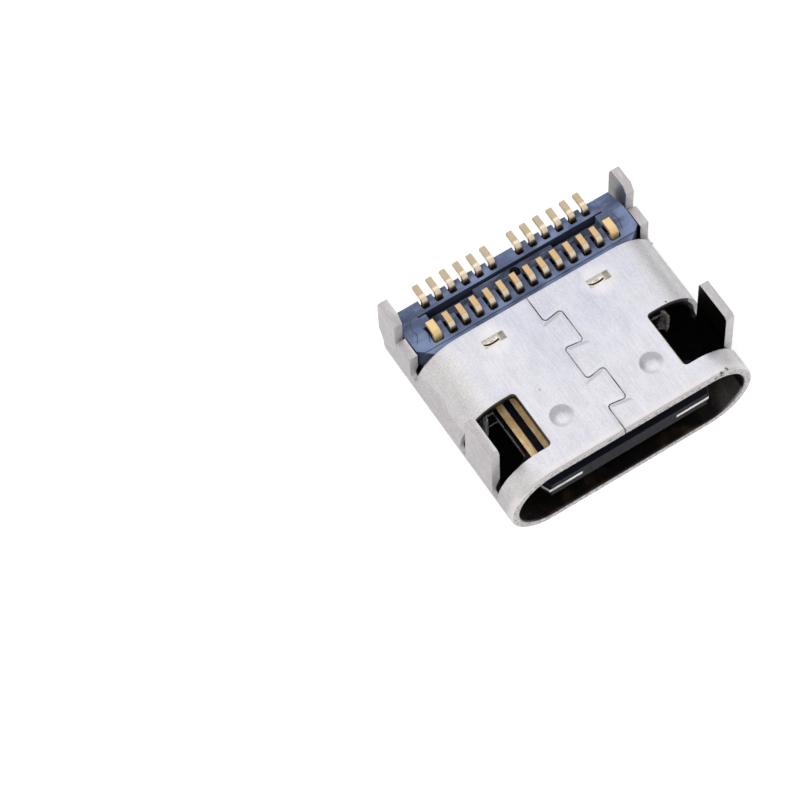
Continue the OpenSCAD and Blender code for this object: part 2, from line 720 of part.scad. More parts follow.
module housing() color([0.30, 0.36, 0.47]) on_bench() difference() {
    housing_body();
    // Lowered lip along the edge of the board-side wall
    span([-face_w, board_wall_len, board_face - lip_drop], [face_w, lip_end + lip_w, board_face + over]);
    // Seats of the inner and rear blocks
    span([-recess_w / 2, recess_y, block_seat], [recess_w / 2, recess_end, board_face + over]);
    span([-rear_block_w / 2, recess_end - over, rear_seat],
         [rear_block_w / 2, housing_len + over, board_face + over]);
    // Hollows under the pressed lances
    both_sides() translate([lance_x, lance_y, wall_in - strap_t - 2 * over])
        span([-lance_r - over, -lance_len / 2 - over, 0], [lance_r + over, lance_len / 2 + over, shell_h]);
    for (i = [0:row_count - 1]) {
        inner_channel(row_x(i, pitch / 2), tail_w, beam_w, tip_y(i), beam_top - contact_t, contact_t);
        inner_pocket(row_x(i, pitch / 2), pocket_w);
        outer_channel(i);
    }
    // Slot for the middle plate and its ground tails
    along_z(mid_z - plate_t / 2, mid_z + plate_t / 2) plate_outline();
    both_sides() {
        inner_channel(ground_x, ground_w, 0, base_y, mid_z - plate_t / 2, plate_t);
        inner_pocket(ground_x, ground_w + pocket_w - tail_w);
    }
}

// Block between the two rows, with its middle pad and round gate mark.
module inner_block() color([0.22, 0.25, 0.32]) on_bench() difference() {
    c = channel_clear;
    union() {
        span([-recess_w / 2 + c, recess_y, block_seat], [recess_w / 2 - c, recess_end - slot_w, floor_z]);
        span([-pad_w / 2, recess_y, block_seat], [pad_w / 2, recess_end - pad_groove_w, pad_z]);
    }
    translate([0, gate_y, pad_z - gate_depth]) difference() {
        cylinder(r = gate_r, h = gate_depth + over);
        cylinder(r = gate_r / 2, h = gate_depth - over);
    }
}

// Block that carries the outer row of tails, up to the parting line on the rear face.
module rear_block() color([0.33, 0.38, 0.48]) on_bench() difference() {
    span([-rear_block_w / 2 + channel_clear, recess_end, rear_seat],
         [rear_block_w / 2 - channel_clear, housing_len, board_face]);
    for (i = [0:row_count - 1]) {
        outer_channel(i);
        translate([row_x(i, pitch), 0, 0]) span(
            [-outer_pocket_w / 2, outer_pocket_front, board_face - outer_pocket_depth],
            [outer_pocket_w / 2, housing_len + over, board_face + over]);
    }
}

// ---- Parts ----

shell();
housing();
inner_block();
rear_block();
mid_plate();
ground_ring();
for (i = [0:row_count - 1]) {
    outer_contact(i);
    inner_contact(i);
}
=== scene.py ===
"""Looks of a 24-contact board socket: finishes, fine surface detail, light and camera.

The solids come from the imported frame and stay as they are. Lengths in the dataclasses are
in millimetres, measured in the frame's own axes: +X across the mouth, +Y from the mouth to
the rear, +Z towards the circuit board. They are turned into metres where objects are made.
"""

import json
import logging
import math
from dataclasses import dataclass
from enum import Enum
from typing import Optional, Sequence

import bpy
from mathutils import Matrix, Vector

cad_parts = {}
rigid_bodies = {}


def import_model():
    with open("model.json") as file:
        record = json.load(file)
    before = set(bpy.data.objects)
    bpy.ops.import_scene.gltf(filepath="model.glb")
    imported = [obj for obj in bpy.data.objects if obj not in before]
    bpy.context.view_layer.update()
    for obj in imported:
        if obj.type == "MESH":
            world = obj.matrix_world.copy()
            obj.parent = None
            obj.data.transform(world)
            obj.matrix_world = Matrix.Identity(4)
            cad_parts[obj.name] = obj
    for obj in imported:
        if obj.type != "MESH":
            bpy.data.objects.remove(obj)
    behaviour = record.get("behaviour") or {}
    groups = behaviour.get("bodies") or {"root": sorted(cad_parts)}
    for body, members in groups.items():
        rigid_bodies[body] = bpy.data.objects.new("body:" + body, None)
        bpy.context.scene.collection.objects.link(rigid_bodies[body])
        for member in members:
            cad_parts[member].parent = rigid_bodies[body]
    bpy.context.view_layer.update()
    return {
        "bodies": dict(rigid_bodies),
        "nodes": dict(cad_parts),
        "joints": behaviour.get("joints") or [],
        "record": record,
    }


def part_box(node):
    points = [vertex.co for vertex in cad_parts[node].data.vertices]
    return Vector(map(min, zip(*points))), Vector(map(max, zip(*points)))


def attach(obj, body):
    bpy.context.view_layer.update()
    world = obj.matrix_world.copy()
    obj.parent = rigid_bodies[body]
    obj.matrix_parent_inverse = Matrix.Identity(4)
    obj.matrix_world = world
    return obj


LOG = logging.getLogger("socket")
MM = 0.001
BODY = "root"

Socket = bpy.types.NodeSocket
Material = bpy.types.Material
Colour = tuple[float, float, float]
Point = tuple[float, float, float]
Span = tuple[float, float]
Zones = dict[str, Socket]

EVEN: Point = (1.0, 1.0, 1.0)
BOTH_SIDES = (-1, 1)
MID_SPAN: Span = (0.35, 0.65)


class Piece(Enum):
    """The CAD nodes that have a finish of their own."""

    SHELL = "shell"
    HOUSING = "housing"
    INNER_BLOCK = "inner_block"
    REAR_BLOCK = "rear_block"
    MID_PLATE = "mid_plate"
    GROUND_RING = "ground_ring"


class Row(Enum):
    """The two rows of contacts, by the start of their nodes' names."""

    OUTER = "contact_a"
    INNER = "contact_b"


# ---- Node trees ----


@dataclass(frozen=True)
class Pattern:
    """A noise pattern on Object coordinates.

    Attributes:
        scale: Features to a millimetre.
        stretch: Scale along each axis, so that a small number draws the pattern out.
        detail: Octaves.
        turn: Turn about Z, in degrees.
        offset: Shift that keeps two patterns from lining up.
    """

    scale: float
    stretch: Point = EVEN
    detail: float = 3.0
    turn: float = 0.0
    offset: Point = (0.0, 0.0, 0.0)


@dataclass(frozen=True)
class Layer:
    """A tint that shows where a noise pattern is high.

    Attributes:
        pattern: The noise.
        span: Noise at which the tint starts to show, and at which it shows in full.
        colour: The tint.
        share: How much of it shows.
        low: Whether it shows where the noise is low instead.
    """

    pattern: Pattern
    span: Span
    colour: Colour
    share: float = 1.0
    low: bool = False


def shift(span: Span, start: float) -> Span:
    """A span measured from another place."""
    return span[0] + start, span[1] + start


class Wiring:
    """Short calls for laying out a node tree."""

    def __init__(self, tree: bpy.types.NodeTree) -> None:
        """Keeps the tree."""
        self.tree = tree

    def add(self, kind: str, inputs: dict, **settings: object) -> bpy.types.Node:
        """Adds a node.

        Args:
            kind: Its type.
            inputs: What its inputs are given, by their names or numbers.
            settings: Its own properties, such as its operation.

        Returns:
            The node.
        """
        node = self.tree.nodes.new(kind)
        for name, value in settings.items():
            setattr(node, name, value)
        for key, value in inputs.items():
            self.feed(node.inputs[key], value)
        return node

    def feed(self, socket: Socket, value: object) -> None:
        """Gives an input a link, where value is a socket, or else a plain value."""
        if isinstance(value, Socket):
            self.tree.links.new(value, socket)
        elif isinstance(value, tuple) and socket.type == "RGBA":
            socket.default_value = (*value, 1.0)
        else:
            socket.default_value = value

    def math(self, operation: str, first: object, second: object = 0.0) -> Socket:
        """A Math node's result."""
        return self.add("ShaderNodeMath", {0: first, 1: second}, operation=operation).outputs[0]

    def times(self, first: object, *others: object) -> Socket:
        """The product of two or more numbers."""
        for other in others:
            first = self.math("MULTIPLY", first, other)
        return first

    def plus(self, first: object, second: object) -> Socket:
        """The sum of two numbers."""
        return self.math("ADD", first, second)

    def minus(self, first: object, second: object) -> Socket:
        """The difference of two numbers."""
        return self.math("SUBTRACT", first, second)

    def larger(self, first: object, second: object) -> Socket:
        """The larger of two numbers."""
        return self.math("MAXIMUM", first, second)

    def rise(self, value: object, low: float, high: float, ends: Span = (0.0, 1.0)) -> Socket:
        """A smooth change from one end where value is low to the other where it is high."""
        inputs = {"Value": value, "From Min": low, "From Max": high, "To Min": ends[0], "To Max": ends[1]}
        return self.add("ShaderNodeMapRange", inputs, interpolation_type="SMOOTHSTEP").outputs["Result"]

    def below(self, value: object, low: float, high: float) -> Socket:
        """1 where value is below low, 0 above high, and smooth between them."""
        return self.minus(1.0, self.rise(value, low, high))


class NodeBoard(Wiring):
    """Short calls for laying out one material's node tree."""

    def __init__(self, name: str) -> None:
        """Makes the material with an empty tree and a Principled shader."""
        self.material = bpy.data.materials.new(name)
        self.material.use_nodes = True
        super().__init__(self.material.node_tree)
        self.tree.nodes.clear()
        self.shader = self.add("ShaderNodeBsdfPrincipled", {})
        self.output = self.add("ShaderNodeOutputMaterial", {"Surface": self.shader.outputs["BSDF"]})
        place = self.add("ShaderNodeTexCoord", {}).outputs["Object"]
        scaled = self.add("ShaderNodeVectorMath", {0: place, "Scale": 1 / MM}, operation="SCALE")
        self.place = scaled.outputs["Vector"]
        self.normal = self.add("ShaderNodeNewGeometry", {}).outputs["Normal"]
        self._axes = self.add("ShaderNodeSeparateXYZ", {0: self.place}).outputs
        self._normals = self.add("ShaderNodeSeparateXYZ", {0: self.normal}).outputs
        self._noises: dict[Pattern, Socket] = {}

    def axis(self, letter: str) -> Socket:
        """One coordinate, in millimetres: "X", "Y" or "Z"."""
        return self._axes[letter]

    def facing(self, letter: str) -> Socket:
        """One component of the surface's own normal: "X", "Y" or "Z"."""
        return self._normals[letter]

    def band(self, value: object, low: float, high: float, soft: float = 0.03) -> Socket:
        """1 where value lies between low and high, with soft ends."""
        return self.times(self.rise(value, low - soft, low), self.below(value, high, high + soft))

    def noise(self, pattern: Pattern) -> Socket:
        """A noise pattern's factor, from 0 to 1 about 0.5."""
        if pattern not in self._noises:
            inputs = {
                "Scale": pattern.stretch,
                "Rotation": (0.0, 0.0, math.radians(pattern.turn)),
                "Location": pattern.offset,
                "Vector": self.place,
            }
            turned = self.add("ShaderNodeMapping", inputs).outputs["Vector"]
            inputs = {"Scale": pattern.scale, "Detail": pattern.detail, "Vector": turned}
            self._noises[pattern] = self.add("ShaderNodeTexNoise", inputs).outputs["Fac"]
        return self._noises[pattern]

    def blend(self, factor: object, first: object, second: object, mode: str = "MIX") -> Socket:
        """Mixes two colours, where factor is the share of the second one."""
        inputs = {0: factor, 6: first, 7: second}
        node = self.add("ShaderNodeMix", inputs, data_type="RGBA", blend_type=mode, clamp_factor=True)
        return node.outputs[2]

    def stack(self, colour: object, *coats: tuple[object, object]) -> Socket:
        """Lays coats over a colour, one after another, each given as a mask and a tint."""
        for mask, tint in coats:
            colour = self.blend(mask, colour, tint)
        return colour

    def between(self, factor: object, low: object, high: object) -> Socket:
        """Mixes two numbers by a factor."""
        return self.add("ShaderNodeMix", {0: factor, 2: low, 3: high}, data_type="FLOAT").outputs[0]

    def layer(self, under: object, layer: Layer) -> Socket:
        """Lays a tint over a colour by its noise pattern."""
        mask = self.rise(self.noise(layer.pattern), *layer.span)
        if layer.low:
            mask = self.minus(1.0, mask)
        return self.blend(self.times(mask, layer.share), under, layer.colour)

    def near(self, centre: Point, radius: float, soft: float) -> Socket:
        """1 inside a ball and 0 outside it, with an edge as wide as soft, in millimetres."""
        away = self.add("ShaderNodeVectorMath", {0: self.place, 1: centre}, operation="DISTANCE")
        return self.below(away.outputs["Value"], radius - soft / 2, radius + soft / 2)

    def edge_nearness(self, radius: float) -> Socket:
        """0 on a flat and up to 1 within a radius of a sharp edge, in millimetres."""
        inputs = {0: self.bevel(radius), 1: self.normal}
        dot = self.add("ShaderNodeVectorMath", inputs, operation="DOT_PRODUCT")
        return self.rise(self.minus(1.0, dot.outputs["Value"]), 0.02, 0.25)

    def bevel(self, radius: float) -> Socket:
        """A normal that rounds edges, with the radius in millimetres."""
        return self.add("ShaderNodeBevel", {"Radius": radius * MM}, samples=6).outputs["Normal"]

    def bump(self, height: Socket, depth: float, under: Optional[Socket] = None) -> Socket:
        """A bumped normal, laid over another, where a height of 1 is as deep as depth."""
        inputs = {"Strength": 1.0, "Distance": depth * MM, "Height": height}
        if under is not None:
            inputs["Normal"] = under
        return self.add("ShaderNodeBump", inputs).outputs["Normal"]

    def finish(self, colour: object, roughness: object, metal: object, normal: Socket) -> Material:
        """Feeds the shader with colours, numbers or sockets, and returns the material."""
        given = {"Base Color": colour, "Roughness": roughness, "Metallic": metal, "Normal": normal}
        for name, value in given.items():
            self.feed(self.shader.inputs[name], value)
        return self.material


# ---- Finishes ----


@dataclass(frozen=True)
class SheetFrame:
    """Where the folded sheet lies, from which its finish sets out its zones.

    Attributes:
        half_flat: Half width of the flat walls.
        top: Height of the board-side wall's outer face.
        mouth: Place of the mouth along Y.
        wall_end: Place of the board-side wall's rear edge along Y.
        sheet: Thickness of the sheet.
    """

    half_flat: float
    top: float
    mouth: float
    wall_end: float
    sheet: float

    @property
    def middle(self) -> float:
        """Height of the shell's middle."""
        return self.top / 2

    @property
    def side_in(self) -> float:
        """Distance of the upright sides' inner faces from the middle."""
        return self.half_flat + self.top / 2 - self.sheet

    @property
    def skin(self) -> float:
        """Radius that parts the inner faces from the outer ones."""
        return (self.top - self.sheet) / 2


@dataclass(frozen=True)
class SeamLayout:
    """The folded seam: a waist line with two flared lobes that reach to the tip line.

    Attributes:
        waist: Distance of the waist line from the middle, on the -X side.
        tip: Distance of the lobes' tips from the middle, on the +X side.
        first: Distance of the first lobe's middle from the mouth.
        pitch: Distance between the lobes.
        waist_len: Length of a lobe at the waist line.
        tip_len: Length of a lobe at its tip.
        bend: Radius of the lobes' corners.
        inset: How far the line keeps inside the sheet at the mouth and at the rear.
    """

    waist: float = 0.31
    tip: float = 0.36
    first: float = 1.57
    pitch: float = 2.39
    waist_len: float = 1.10
    tip_len: float = 1.30
    bend: float = 0.12
    inset: Span = (0.02, 0.01)

    def path(self, start: float, end: float, level: float) -> list[Point]:
        """Points along the seam, from the mouth at start to the wall's rear edge at end."""
        points = [(-self.waist, start + self.inset[0], level)]
        for middle in (self.first, self.first + self.pitch):
            for across, half in (
                (-self.waist, -self.waist_len / 2),
                (self.tip, -self.tip_len / 2),
                (self.tip, self.tip_len / 2),
                (-self.waist, self.waist_len / 2),
            ):
                points.append((across, start + middle + half, level))
        points.append((-self.waist, end - self.inset[1], level))
        return points

    def closeness(self, board: NodeBoard, start: float, reach: float) -> Socket:
        """1 on the seam, falling to 0 at reach from it, with the mouth at start."""
        across = board.axis("X")
        fold = board.math("PINGPONG", board.minus(board.axis("Y"), start + self.first), self.pitch / 2)
        flare = (self.tip_len - self.waist_len) / 2 / (self.tip + self.waist)
        half = board.plus(board.times(across, flare), self.waist_len / 2 + self.waist * flare)
        lobe = board.math("MINIMUM", board.minus(half, fold), board.minus(self.tip, across))
        gap = board.math("ABSOLUTE", board.larger(board.minus(-self.waist, across), lobe))
        return board.below(gap, 0.0, reach)


@dataclass(frozen=True)
class ShellPlating:
    """Satin plated sheet: brushed flats, grainy bends and raw cut edges, with painted light and shade on
    the outside and painted shade inside.

    Attributes:
        frame: Where the sheet lies.
        lance: Place of a lance's middle, mirrored to the other side.
        window: Ends of the corner windows along Y, from the mouth.
        seam: Where the folded seam runs.
        dents: Centres of the pressed dents.
        nicks: Centres and radii of the small dark nicks.
    """

    frame: SheetFrame
    lance: Span
    window: Span
    seam: SeamLayout
    dents: tuple[Point, ...]
    nicks: tuple[tuple[Point, float], ...]
    # Painted light: the first two colours are lit and shaded copies of the flat plating.
    bright: Colour = (0.79, 0.785, 0.85)
    shaded_flat: Colour = (0.70, 0.705, 0.795)
    # Painted light on the bends: lit on the -X side, shaded on the +X side.
    lit_bend: Colour = (0.97, 0.94, 0.94)
    shaded: Colour = (0.62, 0.61, 0.63)
    # Painted shade on the upright sides.
    side: Colour = (0.56, 0.53, 0.545)
    # Lighter, pinker tone towards the mouth.
    mouth_tint: Colour = (0.92, 0.86, 0.83)
    # Painted highlight round each lance.
    lance_highlight: Colour = (0.95, 0.92, 0.90)
    rear_edge: Colour = (0.5, 0.48, 0.48)
    # A lance: painted highlight on the strap, painted shade at its two ends and a painted shadow along the
    # slit.
    strap: Colour = (1.0, 0.96, 0.90)
    strap_end: Colour = (0.42, 0.41, 0.37)
    strap_start: Colour = (0.50, 0.47, 0.43)
    slit: Colour = (0.02, 0.014, 0.012)
    raw: Colour = (0.60, 0.58, 0.59)
    rim: Colour = (0.56, 0.53, 0.535)
    # Painted shade: near black on the inside, on the windows' cut faces and on the uprights' inner faces.
    shade_black: Colour = (0.020, 0.017, 0.016)
    nick: Colour = (0.03, 0.028, 0.028)
    # Silver for the specks inside and for the painted light at the ends of the mouth.
    silver: Colour = (0.26, 0.25, 0.25)
    smooth: float = 0.30
    rough: float = 0.42
    # Broad clouds of painted light and shade on the flats.
    cloud: Pattern = Pattern(0.55, (1.0, 0.7, 1.0), offset=(7.0, 2.0, 5.0))
    brush: Pattern = Pattern(19.0, (1.0, 0.05, 1.0), turn=-1.5)
    fine: Pattern = Pattern(46.0, (1.0, 0.14, 1.0), 2.0, 2.0, (3.0, 1.0, 0.0))
    pebble: Pattern = Pattern(24.0)
    fleck: Pattern = Pattern(20.0, EVEN, 4.0, offset=(5.0, 5.0, 5.0))
    sheen: Pattern = Pattern(3.0, (1.0, 0.5, 1.0))
    blush: Layer = Layer(
        Pattern(9.0, (1.0, 0.35, 1.0), offset=(6.0, 1.0, 4.0)), (0.50, 0.68), (0.82, 0.78, 0.76), 0.30
    )
    mottle: Layer = Layer(
        Pattern(7.0, EVEN, 4.0, offset=(1.0, 3.0, 9.0)), (0.48, 0.70), (0.26, 0.22, 0.20), 0.30
    )
    pitting: Layer = Layer(Pattern(13.0, offset=(8.0, 3.0, 1.0)), (0.40, 0.74), (0.20, 0.18, 0.175))
    # Painted reflection of the gilt contacts: faint gilt-coloured patches on the shade inside.
    gold_glint: Layer = Layer(Pattern(1.1, offset=(2.0, 8.0, 3.0)), (0.52, 0.70), (0.085, 0.055, 0.035))
    upright_span: Span = (-0.06, -0.02)
    cut_span: Span = (0.35, 0.75)
    rim_span: Span = (0.03, 0.08)
    trough_half: Span = (0.46, 0.20)
    trough_low: float = 0.4
    trough_high: Span = (-0.05, -0.02)
    skin_half: float = 0.02
    window_edge: float = 0.03
    window_wide: Span = (-0.5, -0.12)
    bend_span: Span = (0.0, 0.90)
    side_span: Span = (1.10, 1.45)
    right_span: Span = (-0.3, 0.9)
    blade_span: Span = (-0.8, -0.5)
    front_soft: float = 0.2
    lip_across: Span = (0.25, 1.0)
    lip_along: Span = (0.15, 1.5)
    # Painted light falloff: how fast the flats darken towards the rear, and how much the clouds add.
    falloff_rate: float = 0.055
    falloff_cloud: float = 0.9
    falloff_span: Span = (0.28, 0.66)
    stroke_span: Span = (0.75, 1.15)
    stroke_tone: Span = (0.93, 1.04)
    grain_span: Span = (0.34, 0.66)
    grain_tone: Span = (0.86, 1.09)
    mouth_span: Span = (0.10, 0.42)
    highlight_radius: float = 0.52
    highlight_soft: float = 0.36
    rear_edge_len: float = 0.10
    slit_back: Span = (0.035, 0.085)
    slit_across: Span = (-0.34, 0.20)
    strap_from: Span = (-0.40, -0.32)
    strap_to: Span = (0.16, 0.30)
    grain_depth: float = 0.0030
    relief_span: Span = (-0.06, -0.03)
    seam_roll: float = 0.16
    seam_rise: float = 0.030
    dent_radius: float = 0.28
    dent_soft: float = 0.26
    dent_depth: float = 0.036
    edge_radius: float = 0.03

    def zones(self, board: NodeBoard) -> Zones:
        """Masks of the sheet's zones, and places along the sheet and round a lance's middle."""
        frame = self.frame
        high = board.axis("Z")
        wide = board.math("ABSOLUTE", board.axis("X"))
        side = board.math("SIGN", board.axis("X"))
        along = board.minus(board.axis("Y"), frame.mouth)
        beyond = board.larger(board.minus(wide, frame.half_flat), 0.0)
        up = board.minus(high, frame.middle)
        radius = board.math("SQRT", board.plus(board.times(beyond, beyond), board.times(up, up)))
        outwards = board.times(board.facing("X"), side)
        pull = board.plus(board.times(outwards, beyond), board.times(board.facing("Z"), up))
        pull = board.math("ABSOLUTE", board.math("DIVIDE", pull, radius))
        upright = board.rise(wide, *shift(self.upright_span, frame.side_in))
        flat_on = board.larger(pull, board.times(board.math("ABSOLUTE", outwards), upright))
        cut = board.below(flat_on, *self.cut_span)
        rim = board.times(cut, board.below(along, *self.rim_span))
        lance_x, lance_y = self.lance
        half_x, half_y = self.trough_half
        trough = board.times(
            board.band(wide, lance_x - half_x, lance_x + half_x),
            board.band(along, lance_y - half_y, lance_y + half_y),
            board.rise(high, frame.middle, frame.middle + self.trough_low),
            board.below(high, *shift(self.trough_high, frame.top)),
        )
        skin = board.below(radius, frame.skin - self.skin_half, frame.skin + self.skin_half)
        inner = board.larger(board.minus(skin, trough), 0.0)
        start, end = self.window
        left, right = self.window_wide
        opening = board.times(
            board.band(along, start - self.window_edge, end + self.window_edge),
            board.band(wide, frame.half_flat + left, frame.side_in + right),
        )
        return {
            "along": along,
            "bend": board.rise(beyond, *self.bend_span),
            "side": board.rise(beyond, *self.side_span),
            "lance": trough,
            "across": board.times(board.minus(wide, lance_x), side),
            "back": board.minus(along, lance_y),
            "right": board.rise(board.axis("X"), *shift(self.right_span, frame.half_flat)),
            "inner": board.times(inner, board.minus(1.0, rim)),
            "cut": cut,
            "rim": rim,
            "blade": board.times(board.below(outwards, *self.blade_span), upright),
            "front": board.below(along, end, end + self.front_soft),
            "window": board.times(cut, opening),
            "lip": board.times(
                board.rise(beyond, *self.lip_across), board.below(along, *self.lip_along)
            ),
        }

    def tone(self, board: NodeBoard, zone: Zones) -> Socket:
        """Brush lines on the flats and grain on the bends, as a factor about 1."""
        strokes = board.plus(board.noise(self.brush), board.times(board.noise(self.fine), 0.9))
        lines = board.between(board.rise(strokes, *self.stroke_span), *self.stroke_tone)
        grain = board.rise(board.noise(self.pebble), *self.grain_span)
        grain = board.between(grain, *self.grain_tone)
        softer = board.between(zone["bend"], board.between(0.5, 1.0, grain), grain)
        return board.times(board.between(zone["bend"], lines, 1.0), softer)

    def outside(self, board: NodeBoard, zone: Zones) -> Socket:
        """Colour of the plated outside, with painted light and shade on its flats, bends and sides, and a
        painted highlight round each lance.
        """
        frame = self.frame
        along = board.axis("Y")
        # Painted light: the flats darken from the lit copy to the shaded copy towards the rear and in broad
        # clouds.
        cloud = board.times(board.noise(self.cloud), self.falloff_cloud)
        light_falloff = board.plus(board.times(along, self.falloff_rate), cloud)
        colour = board.blend(board.rise(light_falloff, *self.falloff_span), self.bright, self.shaded_flat)
        # Painted light: the -X bend lit, the +X bend shaded.
        colour = board.blend(zone["bend"], colour, board.blend(zone["right"], self.lit_bend, self.shaded))
        # Painted shade: the upright sides darker than the flats.
        colour = board.blend(zone["side"], colour, self.side)
        tone = self.tone(board, zone)
        grey = board.add("ShaderNodeCombineColor", {"Red": tone, "Green": tone, "Blue": tone})
        colour = board.blend(1.0, colour, grey.outputs["Color"], "MULTIPLY")
        colour = board.layer(colour, self.blush)
        # The outside turns lighter and pinker towards the mouth.
        near_mouth = board.times(board.below(zone["along"], *self.mouth_span), 0.5)
        colour = board.blend(near_mouth, colour, self.mouth_tint)
        # Painted highlight: a soft bright patch on the outside round each lance.
        for side in BOTH_SIDES:
            centre = (side * self.lance[0], frame.mouth + self.lance[1], frame.top)
            lance_highlight = board.near(centre, self.highlight_radius, self.highlight_soft)
            colour = board.blend(board.times(lance_highlight, 0.5), colour, self.lance_highlight)
        edge = board.rise(along, frame.wall_end - self.rear_edge_len, frame.wall_end)
        return board.blend(board.times(edge, 0.15), colour, self.rear_edge)

    def inside(self, board: NodeBoard, zone: Zones) -> Socket:
        """Colour of the inside: painted shade, a painted reflection of the gilt contacts, silver specks,
        and silver painted light on the inner walls at the ends of the mouth, strongest at the +X end.
        """
        fleck = board.noise(self.fleck)
        specks = board.times(board.rise(fleck, 0.56, 0.70), board.between(zone["lip"], 0.05, 0.4))
        # Painted shade inside, with the painted reflection of the contacts and silver specks.
        dark = board.blend(specks, board.layer(self.shade_black, self.gold_glint), self.silver)
        # Painted light on the inner walls at the ends of the mouth, with grain in it, stronger at the +X
        # end.
        left = board.between(board.rise(fleck, 0.45, 0.62), 0.12, 0.40)
        right = board.between(board.rise(fleck, 0.36, 0.60), 0.55, 1.0)
        lit = board.times(zone["lip"], board.between(zone["right"], left, right))
        return board.blend(lit, dark, self.silver)

    def pressed(self, board: NodeBoard, zone: Zones) -> Socket:
        """Colour of a lance's strap: a painted highlight, painted shade at both ends and a painted shadow
        along its sheared slit.
        """
        across = zone["across"]
        slit = board.band(zone["back"], *self.slit_back, soft=0.02)
        slit = board.times(slit, board.band(across, *self.slit_across))
        # Painted highlight, painted shade at the strap's ends and painted shadow along the slit.
        return board.stack(
            self.strap,
            (board.rise(across, *self.strap_to), self.strap_end),
            (board.below(across, *self.strap_from), self.strap_start),
            (slit, self.slit),
        )

    def colour(self, board: NodeBoard, zone: Zones, nicked: Socket) -> Socket:
        """Colour of the whole sheet, with the nicks given by their mask."""
        return board.stack(
            self.outside(board, zone),
            (zone["cut"], board.layer(self.raw, self.mottle)),
            (zone["rim"], board.layer(self.rim, self.pitting)),
            # Painted shade and painted light inside the sheet.
            (zone["inner"], self.inside(board, zone)),
            # Painted shade on the windows' cut faces.
            (board.times(zone["window"], 0.85), self.shade_black),
            (zone["lance"], self.pressed(board, zone)),
            # Painted shade on the uprights' inner faces, stronger towards the mouth.
            (board.times(zone["blade"], board.between(zone["front"], 0.45, 0.97)), self.shade_black),
            (nicked, self.nick),
        )

    def relief(self, board: NodeBoard, zone: Zones) -> Socket:
        """Normal with brush lines, grain, the sheet's roll at the seam and the dents."""
        frame = self.frame
        grain = board.times(board.noise(self.pebble), board.between(zone["bend"], 0.35, 0.8))
        height = board.plus(board.times(board.noise(self.brush), 0.5), grain)
        normal = board.bump(height, self.grain_depth, board.bevel(self.edge_radius))
        upper = board.rise(board.axis("Z"), *shift(self.relief_span, frame.top))
        ridge = board.times(self.seam.closeness(board, frame.mouth, self.seam_roll), upper)
        normal = board.bump(ridge, self.seam_rise, normal)
        pits = board.larger(*(board.near(dent, self.dent_radius, self.dent_soft) for dent in self.dents))
        return board.bump(board.minus(1.0, pits), self.dent_depth, normal)

    def build(self) -> Material:
        """Makes the material."""
        board = NodeBoard("shell_plating")
        zone = self.zones(board)
        spots: object = 0.0
        for centre, size in self.nicks:
            spots = board.larger(spots, board.near(centre, size, size * 0.9))
        nicked = board.times(spots, board.rise(board.noise(self.pebble), 0.34, 0.50))
        sheen = board.rise(board.noise(self.sheen), *MID_SPAN)
        metal = board.between(zone["inner"], board.between(zone["cut"], 1.0, 0.40), 0.90)
        metal = board.between(nicked, board.between(zone["lance"], metal, 0.45), 0.2)
        roughness = board.between(sheen, self.smooth, self.rough)
        return board.finish(self.colour(board, zone, nicked), roughness, metal, self.relief(board, zone))


@dataclass(frozen=True)
class MouldedResin:
    """Glass-filled moulded resin: slate on the board face, near black inside the shell.

    Attributes:
        name: Name of the material.
        base: Colour of the skin.
        deep: Colour of its darker clouds.
        wall_end: Place of the board-side wall's rear edge along Y.
        texture: Depth of the spark texture, in millimetres.
        roughness: Mean roughness.
        hole: Middle of the gate hole, if there is one.
    """

    name: str
    base: Colour
    deep: Colour
    wall_end: float
    texture: float = 0.0016
    roughness: float = 0.52
    hole: Optional[Point] = None
    hole_radius: float = 0.19
    # Painted shadow: a black disc that stands for the gate hole.
    hole_shadow: Colour = (0.004, 0.004, 0.006)
    worn: Colour = (0.30, 0.33, 0.42)
    shadow: Colour = (0.014, 0.017, 0.030)
    tongue: Colour = (0.006, 0.007, 0.012)
    specular: float = 0.10
    sway: float = 0.10
    bevel_radius: float = 0.02
    tongue_soft: float = 0.04
    cloud: Pattern = Pattern(1.3, (0.7, 1.0, 1.0), 4.0, offset=(2.0, 5.0, 1.0))
    flow: Pattern = Pattern(5.5, (0.25, 1.0, 1.0), 5.0, 14.0)
    flow_depth: float = 0.0040
    spark: Pattern = Pattern(30.0)

    def colour(self, board: NodeBoard) -> Socket:
        """Colour of the skin, the marks on it and the part inside the shell."""
        colour = board.layer(self.base, Layer(self.cloud, (0.36, 0.64), self.deep))
        for layer in (
            Layer(self.flow, (0.52, 0.66), (0.24, 0.28, 0.38), 0.30),
            Layer(self.flow, (0.36, 0.46), (0.07, 0.08, 0.14), 0.30, low=True),
            Layer(self.spark, (0.60, 0.72), (0.32, 0.35, 0.44), 0.20),
        ):
            colour = board.layer(colour, layer)
        colour = board.blend(board.times(board.edge_nearness(0.03), 0.30), colour, self.worn)
        # Painted shadow of the gate hole.
        if self.hole is not None:
            colour = board.blend(board.near(self.hole, self.hole_radius, 0.03), colour, self.hole_shadow)
        facing_mouth = board.times(board.below(board.facing("Y"), -0.85, -0.55), 0.85)
        colour = board.blend(facing_mouth, colour, self.shadow)
        tongue = board.layer(self.tongue, Layer(self.flow, (0.56, 0.66), (0.020, 0.012, 0.009), 0.6))
        covered = board.below(board.axis("Y"), self.wall_end - self.tongue_soft, self.wall_end)
        return board.blend(covered, colour, tongue)

    def build(self) -> Material:
        """Makes the material."""
        board = NodeBoard(self.name)
        board.feed(board.shader.inputs["Specular IOR Level"], self.specular)
        spark = board.noise(self.spark)
        low, high = self.roughness - self.sway, self.roughness + self.sway
        roughness = board.between(board.rise(spark, *MID_SPAN), low, high)
        normal = board.bump(spark, self.texture, board.bevel(self.bevel_radius))
        normal = board.bump(board.noise(self.flow), self.flow_depth, normal)
        return board.finish(self.colour(board), roughness, 0.0, normal)


